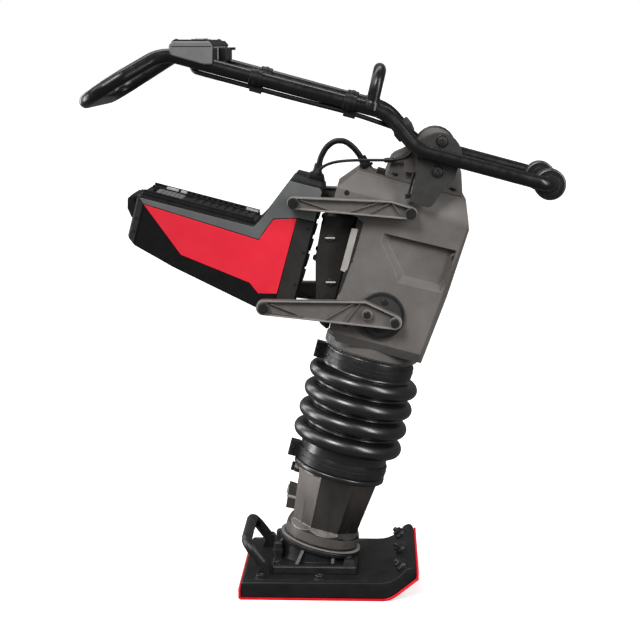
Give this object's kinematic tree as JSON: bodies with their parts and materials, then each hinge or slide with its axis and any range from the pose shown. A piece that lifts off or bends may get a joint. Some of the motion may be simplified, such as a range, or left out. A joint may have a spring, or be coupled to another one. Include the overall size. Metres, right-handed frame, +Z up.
{
  "type": "jumping jack rammer",
  "caption": "Battery-powered jumping jack rammer with a leaning bellows leg on a plated shoe, a looped handle with guide rollers, and a link-hung power pack.",
  "frame": {"origin": "centre of the flat part of the sole's underside, on the ground", "axes": "+X forward, the way the leg leans; +Y to the operator's left; +Z up"},
  "size_m": [0.8635, 0.3604, 1.0235],
  "materials": {
    "sole_red": "red painted steel, satin",
    "black_plastic": "black moulded plastic",
    "shoe_black": "black hard plastic, slightly worn",
    "foot_iron": "black painted casting",
    "black_steel": "black zinc, satin",
    "tube_black": "black powder coat, satin",
    "rubber": "black rubber, semi-gloss",
    "cast_bronze": "warm grey painted casting",
    "dark_cast": "dark grey painted casting",
    "panel_red": "red moulded plastic, satin",
    "grey_plastic": "grey moulded plastic",
    "controller_alloy": "bare alloy",
    "steel": "ground steel",
    "copper": "copper windings"
  },
  "bodies": {
    "foot": {"sole_plate": "sole_red", "shoe": "shoe_black", "shoe_handle": "tube_black", "foot_casting": "foot_iron", "leg_tube": "cast_bronze", "lower_clamp": "black_steel", "bellows": "rubber", "spring_lower": "steel", "spring_upper": "steel", "front_bolt_1": "black_steel", "front_bolt_2": "black_steel", "front_bolt_3": "black_steel", "edge_bolt_1": "black_steel", "edge_bolt_2": "black_steel", "edge_bolt_3": "black_steel", "edge_bolt_4": "black_steel"},
    "machine": {"crankcase": "cast_bronze", "crankcase_cover": "cast_bronze", "guide_cylinder": "steel", "upper_clamp": "black_steel", "motor_housing": "black_plastic", "motor_stator": "copper", "crank_bearing": "steel", "handle_support": "cast_bronze", "rubber_mount_left": "rubber", "rubber_mount_right": "rubber", "power_cable_case": "rubber"},
    "plunger": {"connecting_rod": "steel", "piston": "steel"},
    "crank": {"crank_gear": "steel"},
    "rotor": {"motor_rotor": "steel"},
    "handle": {"handle_frame": "tube_black", "lifting_bail": "tube_black", "cross_brace": "black_steel", "handle_plate_left": "dark_cast", "handle_plate_right": "dark_cast", "console_housing": "grey_plastic", "control_cable": "rubber", "signal_cable_handle": "rubber"},
    "button": {"power_button": "grey_plastic"},
    "lever": {"throttle_lever": "black_plastic"},
    "roller_left": {"roller_left": "rubber"},
    "roller_right": {"roller_right": "rubber"},
    "power_pack": {"pack_housing": "black_plastic", "side_panel_left": "panel_red", "side_panel_right": "panel_red", "motor_controller": "controller_alloy", "cable_gland": "black_plastic", "upper_shaft": "black_steel", "lower_shaft": "black_steel", "power_cable_pack": "rubber", "signal_cable_pack": "rubber"},
    "battery": {"battery": "black_plastic"},
    "latch": {"battery_latch": "grey_plastic"},
    "upper_links": {"upper_link_left": "cast_bronze", "upper_link_right": "cast_bronze"},
    "lower_links": {"lower_link_left": "cast_bronze", "lower_link_right": "cast_bronze", "rocker_disc_left": "dark_cast", "rocker_disc_right": "dark_cast"}
  },
  "joints": [
    {"name": "leg_stroke", "type": "slide", "parent": "foot", "child": "machine", "axis": [0.2497, 0, 0.9683], "range_m": [-0.03, 0.03], "stiffness_N_per_m": 20000, "springref_m": 0.02461, "deforming": ["bellows"]},
    {"name": "plunger_slide", "type": "slide", "parent": "machine", "child": "plunger", "axis": [0.2497, 0, 0.9683], "range_m": [0, 0.05], "deforming": ["spring_lower", "spring_upper"]},
    {"name": "crank_spin", "type": "hinge", "parent": "machine", "child": "crank", "pos_m": [0.15366, 0, 0.62457], "axis": [0, 1, 0], "continuous": true},
    {"name": "rotor_spin", "type": "hinge", "parent": "machine", "child": "rotor", "pos_m": [0.06651, 0, 0.64704], "axis": [0, 1, 0], "continuous": true},
    {"name": "handle_mount", "type": "hinge", "parent": "machine", "child": "handle", "pos_m": [0.22496, 0, 0.82098], "axis": [0, 1, 0], "range_deg": [-3, 3], "stiffness_Nm_per_rad": 1500, "springref_deg": 0.9},
    {"name": "button_press", "type": "slide", "parent": "handle", "child": "button", "axis": [0, 0, -1], "range_m": [0, 0.003], "stiffness_N_per_m": 500, "springref_m": -0.002},
    {"name": "lever_tilt", "type": "hinge", "parent": "handle", "child": "lever", "pos_m": [-0.178, 0.1055, 1.004], "axis": [0, 1, 0], "range_deg": [0, 12], "stiffness_Nm_per_rad": 0.3, "springref_deg": -8.59},
    {"name": "roller_left_spin", "type": "hinge", "parent": "handle", "child": "roller_left", "pos_m": [0.425, 0.096, 0.7665], "axis": [0, 1, 0], "continuous": true},
    {"name": "roller_right_spin", "type": "hinge", "parent": "handle", "child": "roller_right", "pos_m": [0.425, -0.096, 0.7665], "axis": [0, 1, 0], "continuous": true},
    {"name": "pack_sway", "type": "slide", "parent": "machine", "child": "power_pack", "axis": [0.0824, 0, 0.9966], "range_m": [-0.012, 0.012], "stiffness_N_per_m": 40000, "springref_m": 0.0023},
    {"name": "upper_links_swing", "type": "hinge", "parent": "machine", "child": "upper_links", "pos_m": [0.17796, 0, 0.716], "axis": [0, 1, 0], "range_deg": [-3.36, 3.36]},
    {"name": "lower_links_swing", "type": "hinge", "parent": "machine", "child": "lower_links", "pos_m": [0.12607, 0, 0.528], "axis": [0, 1, 0], "range_deg": [-3.36, 3.36]},
    {"name": "battery_slide", "type": "slide", "parent": "power_pack", "child": "battery", "axis": [-0.9683, 0, 0.2497], "range_m": [0, 0.18]},
    {"name": "latch_pull", "type": "slide", "parent": "battery", "child": "latch", "axis": [-0.9683, 0, 0.2497], "range_m": [0, 0.006], "stiffness_N_per_m": 500, "springref_m": -0.003}
  ],
  "couplings": [
    {"joint": "rotor_spin", "follows": "crank_spin", "ratio": -4},
    {"joint": "upper_links_swing", "follows": "pack_sway", "rad_per_m": 4.723},
    {"joint": "lower_links_swing", "follows": "pack_sway", "rad_per_m": 4.723}
  ]
}
